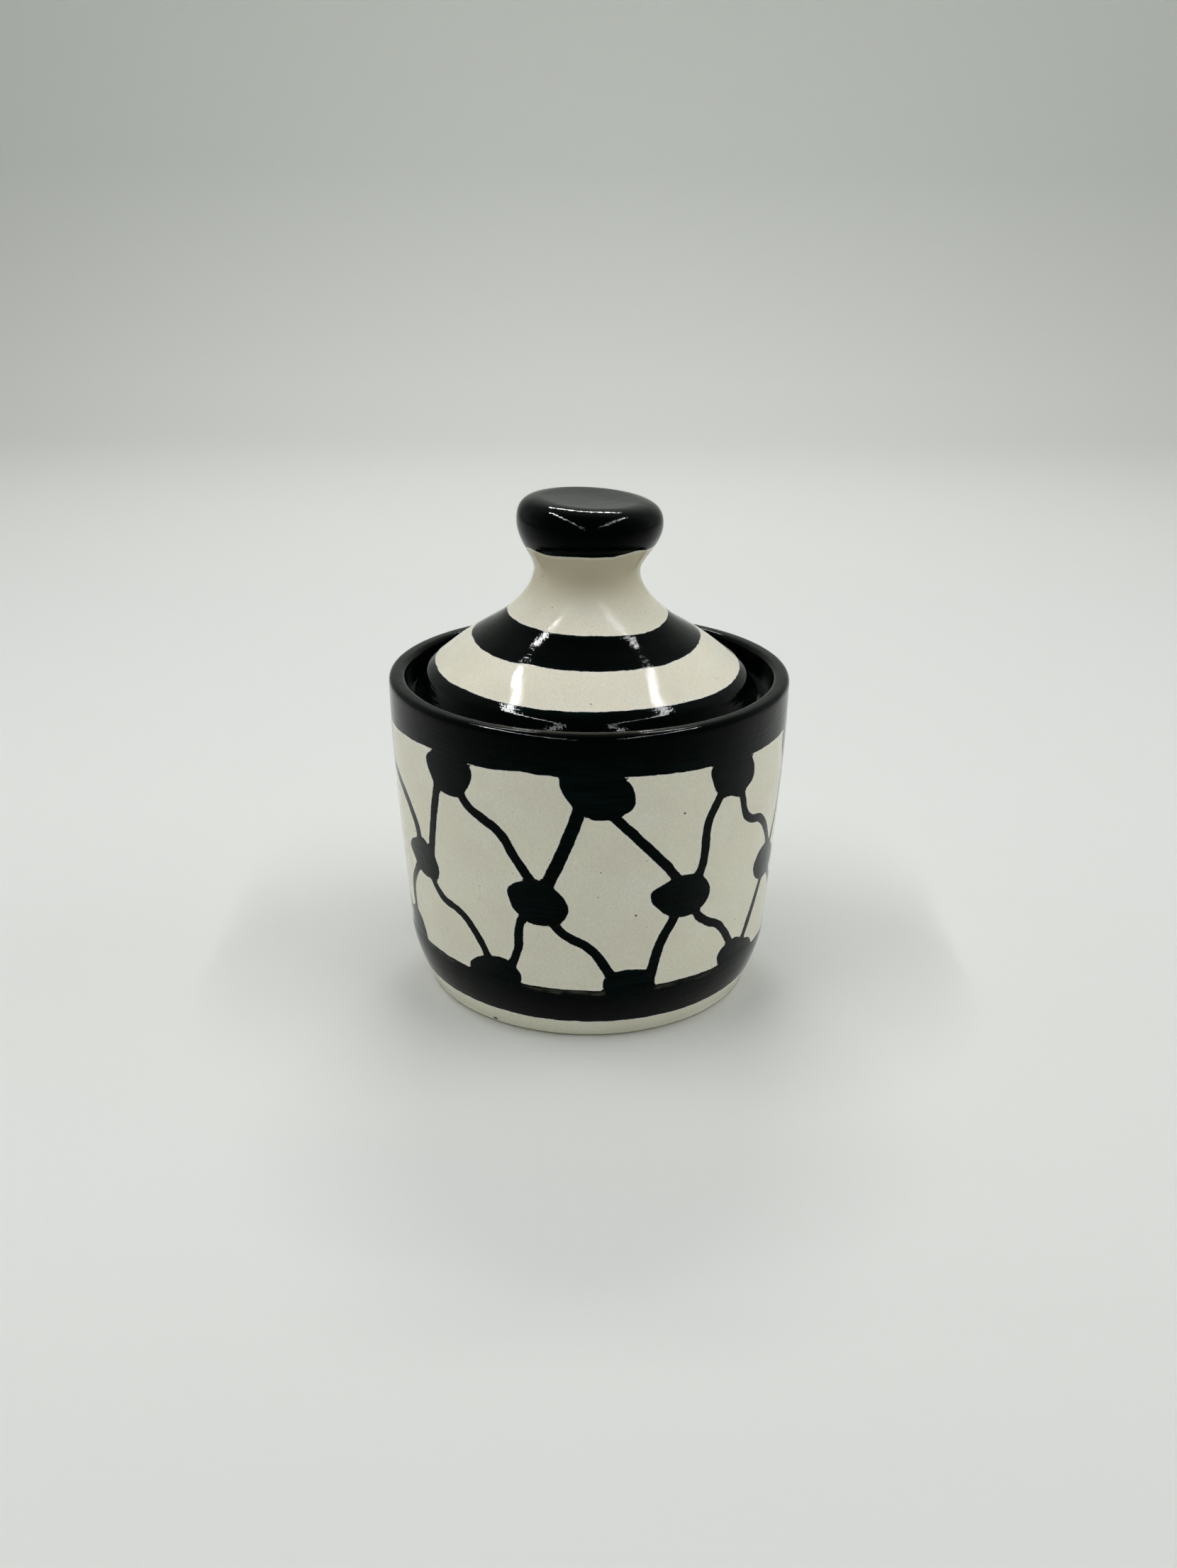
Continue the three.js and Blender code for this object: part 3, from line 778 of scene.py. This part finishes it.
    # Only some of the grains are dark enough to show
    chosen = add(tree, "ShaderNodeSeparateColor", {"Color": grains.outputs["Color"]})
    few = add(tree, "ShaderNodeMapRange", {"Value": chosen.outputs[0], "From Min": 0.72, "From Max": 0.92})
    speck = add(tree, "ShaderNodeMath", {0: grain.outputs[0], 1: few.outputs[0]}, operation="MULTIPLY")
    cream = add(tree, "ShaderNodeMix",
                {"Factor": speck.outputs[0], FIRST: cream.outputs[MIXED], SECOND: SPECK_COLOUR},
                data_type="RGBA")
    cream = add(tree, "ShaderNodeMix",
                {"Factor": small_marks(tree, place), FIRST: cream.outputs[MIXED], SECOND: MARK_COLOUR},
                data_type="RGBA")

    colour = add(tree, "ShaderNodeMix",
                 {"Factor": cover.outputs[0], FIRST: cream.outputs[MIXED], SECOND: black.outputs[MIXED]},
                 data_type="RGBA")

    # Skin of the glaze: slow ripples, fine wrinkles that break a bright reflection up, and the relief of
    # the brushed paint under it
    ripples = add(tree, "ShaderNodeTexNoise",
                  {"Vector": place, "Scale": per_mm(RIPPLE_WIDTH), "Detail": 2.0})
    wrinkles = add(tree, "ShaderNodeTexNoise",
                   {"Vector": place, "Scale": per_mm(WRINKLE_WIDTH), "Detail": 2.0})
    slow = add(tree, "ShaderNodeBump",
               {"Height": ripples.outputs["Fac"], "Strength": 1.0, "Distance": RIPPLE_RELIEF * MM})
    skin = add(tree, "ShaderNodeBump",
               {"Height": wrinkles.outputs["Fac"], "Strength": 1.0, "Distance": WRINKLE_RELIEF * MM,
                "Normal": slow.outputs[0]})
    brushed = add(tree, "ShaderNodeMath",
                  {0: streaks.outputs["Fac"], 1: cover.outputs[0]}, operation="MULTIPLY")
    skin = add(tree, "ShaderNodeBump",
               {"Height": brushed.outputs[0], "Strength": 1.0, "Distance": BRISTLE_RELIEF * MM,
                "Normal": skin.outputs[0]})
    gloss = add(tree, "ShaderNodeMapRange",
                {"Value": clouds.outputs["Fac"],
                 "To Min": GLAZE_ROUGHNESS[0], "To Max": GLAZE_ROUGHNESS[1]})
    shader = add(tree, "ShaderNodeBsdfPrincipled",
                 {"Base Color": colour.outputs[MIXED], "Roughness": gloss.outputs[0], "IOR": GLAZE_IOR,
                  "Specular Tint": GLAZE_TINT, "Normal": skin.outputs[0]})
    add(tree, "ShaderNodeOutputMaterial", {"Surface": shader.outputs[0]})
    return material


glaze = glazed_earthenware("glazed_earthenware_brushed_black")
for piece, node in ((pot, "pot"), (lid, "lid")):
    piece.data.materials.clear()
    piece.data.materials.append(glaze)
    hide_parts(node)
    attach(piece, node)


# Stage: a floor of matt card that sweeps up into a wall behind. Its measures are in metres.
FLOOR_HALF = 2.2
WALL_PLACE = 0.95
WALL_HEIGHT = 1.6
SWEEP_ROUND = 0.3
SWEEP_PARTS = 24
NEAR = 0.01
FAR_FLOOR = (0.3, 0.65)
CLIMB = (0.02, 0.15)
FADE = (1.15, 1.9)
# One sheet of card, painted paler far off and greyer up the wall: painted light and painted shade
NEAR_CARD = linear("#dfe1de")
FAR_CARD_PAINTED_LIGHT = linear("#e5e7e2")
WALL_CARD_PAINTED_SHADE = linear("#d3d6d1")
ROOM_COLOUR = (0.97, 1, 0.97, 1)
ROOM_LEVEL = 0.45


def matt_sweep():
    """Plain matt card with painted light and shade on it: a little paler at the far end of the floor
    and greyer where it climbs.
    Far from the pot it fades into the room."""
    material = new_material("matt_card")
    tree = material.node_tree
    place = add(tree, "ShaderNodeTexCoord").outputs["Object"]
    parts = add(tree, "ShaderNodeSeparateXYZ", {"Vector": place})
    # Painted light: the floor pales towards its far end
    depth = add(tree, "ShaderNodeMapRange",
                {"Value": parts.outputs["Y"], "From Min": FAR_FLOOR[0], "From Max": FAR_FLOOR[1]})
    floor = add(tree, "ShaderNodeMix",
                {"Factor": depth.outputs[0], FIRST: NEAR_CARD, SECOND: FAR_CARD_PAINTED_LIGHT}, data_type="RGBA")
    # Painted shade: the card greys as it climbs into the wall
    wall_shade = add(tree, "ShaderNodeMapRange",
                {"Value": parts.outputs["Z"], "From Min": CLIMB[0], "From Max": CLIMB[1]})
    colour = add(tree, "ShaderNodeMix",
                 {"Factor": wall_shade.outputs[0], FIRST: floor.outputs[MIXED], SECOND: WALL_CARD_PAINTED_SHADE},
                 data_type="RGBA")
    card = add(tree, "ShaderNodeBsdfPrincipled",
               {"Base Color": colour.outputs[MIXED], "Roughness": 1.0, "Specular IOR Level": 0.0})
    flat = add(tree, "ShaderNodeVectorMath", {0: place, 1: (1, 1, 0)}, operation="MULTIPLY")
    away = add(tree, "ShaderNodeVectorMath", {0: flat.outputs[0]}, operation="LENGTH")
    far = add(tree, "ShaderNodeMapRange",
              {"Value": away.outputs["Value"], "From Min": FADE[0], "From Max": FADE[1]})
    rays = add(tree, "ShaderNodeLightPath")
    seen = add(tree, "ShaderNodeMath",
               {0: rays.outputs["Is Camera Ray"], 1: rays.outputs["Is Glossy Ray"]}, operation="MAXIMUM")
    fade = add(tree, "ShaderNodeMath", {0: far.outputs[0], 1: seen.outputs[0]}, operation="MULTIPLY")
    pale = add(tree, "ShaderNodeEmission", {"Color": ROOM_COLOUR, "Strength": ROOM_LEVEL})
    shader = add(tree, "ShaderNodeMixShader", {0: fade.outputs[0], 1: card.outputs[0], 2: pale.outputs[0]})
    add(tree, "ShaderNodeOutputMaterial", {"Surface": shader.outputs[0]})
    return material


bpy.ops.object.select_all(action="DESELECT")
bpy.ops.mesh.primitive_plane_add(size=2 * FLOOR_HALF, location=(0, WALL_PLACE - FLOOR_HALF, 0))
sweep = bpy.context.object
sweep.name = "sweep"
bpy.ops.object.transform_apply(location=True)
bpy.ops.object.mode_set(mode="EDIT")
bpy.ops.mesh.select_all(action="DESELECT")
bpy.ops.mesh.select_mode(type="EDGE")
bpy.ops.object.mode_set(mode="OBJECT")
corners = sweep.data.vertices
for edge in sweep.data.edges:
    edge.select = all(corners[v].co.y > WALL_PLACE - NEAR for v in edge.vertices)
bpy.ops.object.mode_set(mode="EDIT")
bpy.ops.mesh.extrude_edges_move(TRANSFORM_OT_translate={"value": (0, 0, WALL_HEIGHT)})
bpy.ops.object.mode_set(mode="OBJECT")
corners = sweep.data.vertices
for edge in sweep.data.edges:
    edge.select = all(abs(corners[v].co.y - WALL_PLACE) < NEAR and corners[v].co.z < NEAR
                      for v in edge.vertices)
bpy.ops.object.mode_set(mode="EDIT")
bpy.ops.mesh.bevel(offset=SWEEP_ROUND, segments=SWEEP_PARTS, affect="EDGES")
bpy.ops.object.mode_set(mode="OBJECT")
bpy.ops.object.shade_smooth()
sweep.data.materials.append(matt_sweep())


def lamp(name, place, size, power, aim=(0, 0, 0.05), mirrored_only=False, mirrored=True):
    """A flat lamp, its long side along Y, that faces a point. One that is mirrored only adds no light."""
    bpy.ops.object.light_add(type="AREA", location=place)
    light = bpy.context.object
    light.name = name
    light.data.shape = "RECTANGLE"
    light.data.size, light.data.size_y = size
    light.data.energy = power
    light.visible_diffuse = not mirrored_only
    light.visible_glossy = mirrored
    if mirrored_only:
        light.data.cycles.max_bounces = 0
    down = (Vector(aim) - Vector(place)).normalized()
    across = Vector((0, 1, 0)).cross(down).normalized()
    facing = Matrix((across, down.cross(across), -down)).transposed().to_4x4()
    light.matrix_world = Matrix.Translation(place) @ facing


# Two bare tubes overhead and one behind, in metres and watts. The glaze shows the tubes far brighter than
# the light that they throw, so each has a lamp for its light and a longer one for its mirror image.
TUBE_HEIGHT = 0.575
TUBE_FAR_END = 0.135
TUBE_LENGTH = 0.485
TUBE_WIDTH = 0.01
TUBE_AIM = 0.57
GLARE_WIDTH = 0.02
GLARE_POWER = 22
TUBES = (
    # (side, place across, power, length of the mirror image)
    ("left", -0.275, 1.29, 2.4),
    ("right", 0.28, 0.94, 1.05),
)
for side, across, power, glare_length in TUBES:
    place = (across, TUBE_FAR_END - TUBE_LENGTH / 2, TUBE_HEIGHT)
    lamp(side + "_tube", place, (TUBE_WIDTH, TUBE_LENGTH), power,
         aim=(across * TUBE_AIM, place[1], 0), mirrored=False)
    place = (across, TUBE_FAR_END - glare_length / 2, TUBE_HEIGHT)
    lamp(side + "_tube_glare", place, (GLARE_WIDTH, glare_length), GLARE_POWER * glare_length,
         aim=(across * TUBE_AIM, place[1], 0), mirrored_only=True)
lamp("back_tube", (0, 0.55, 0.60), (0.30, 0.03), 1.54, aim=(0, 0.2, 0))

# Soft light from the ceiling and from both sides
lamp("ceiling", (0, 0, 1.3), (1, 1), 3.8, mirrored=False)
lamp("left_window", (-1, 0, 0.55), (0.5, 0.8), 0.76, mirrored=False)
lamp("right_window", (1, 0, 0.55), (0.5, 0.8), 1.74, mirrored=False)

# The room: pale at the height of the table, dark higher up; the lens and the gloss see it evenly pale
HORIZON = (0.15, 0.3)
ROOM_LIGHT = (1.0, 0.02)
world = bpy.data.worlds.new("studio")
bpy.context.scene.world = world
world.use_nodes = True
room = world.node_tree
way = add(room, "ShaderNodeSeparateXYZ", {"Vector": add(room, "ShaderNodeTexCoord").outputs["Generated"]})
rise = add(room, "ShaderNodeMapRange",
           {"Value": way.outputs["Z"], "From Min": HORIZON[0], "From Max": HORIZON[1],
            "To Min": ROOM_LIGHT[0], "To Max": ROOM_LIGHT[1]})
rays = add(room, "ShaderNodeLightPath")
seen = add(room, "ShaderNodeMath",
           {0: rays.outputs["Is Camera Ray"], 1: rays.outputs["Is Glossy Ray"]}, operation="MAXIMUM")
seen = add(room, "ShaderNodeMath",
           {0: seen.outputs[0], 1: rays.outputs["Is Transmission Ray"]}, operation="MAXIMUM")
strength = add(room, "ShaderNodeMix",
               {"Factor": seen.outputs[0], FIRST_NUMBER: rise.outputs[0], SECOND_NUMBER: ROOM_LEVEL})
background = room.nodes["Background"]
background.inputs["Color"].default_value = ROOM_COLOUR
room.links.new(strength.outputs[0], background.inputs["Strength"])

# Camera: looks down at the pot from in front; its place is in metres, its image height and focal length in
# pixels
CAMERA_PLACE = (0, -0.33186, 0.17598)
CAMERA_PITCH = math.radians(21.917)
CAMERA_ROLL = math.radians(0.364)
IMAGE_HEIGHT = 2212
FOCAL_PIXELS = 2300
SENSOR = 36
camera_data = bpy.data.cameras.new("camera")
camera = bpy.data.objects.new("camera", camera_data)
bpy.context.scene.collection.objects.link(camera)
camera_data.sensor_width = SENSOR
camera_data.lens = FOCAL_PIXELS * SENSOR / IMAGE_HEIGHT
camera_data.clip_start = 0.02
camera_data.clip_end = 20
camera.matrix_world = (Matrix.Translation(CAMERA_PLACE)
                       @ Matrix.Rotation(math.pi / 2 - CAMERA_PITCH, 4, "X")
                       @ Matrix.Rotation(CAMERA_ROLL, 4, "Z"))
bpy.context.scene.camera = camera
bpy.context.scene.view_settings.view_transform = "Standard"
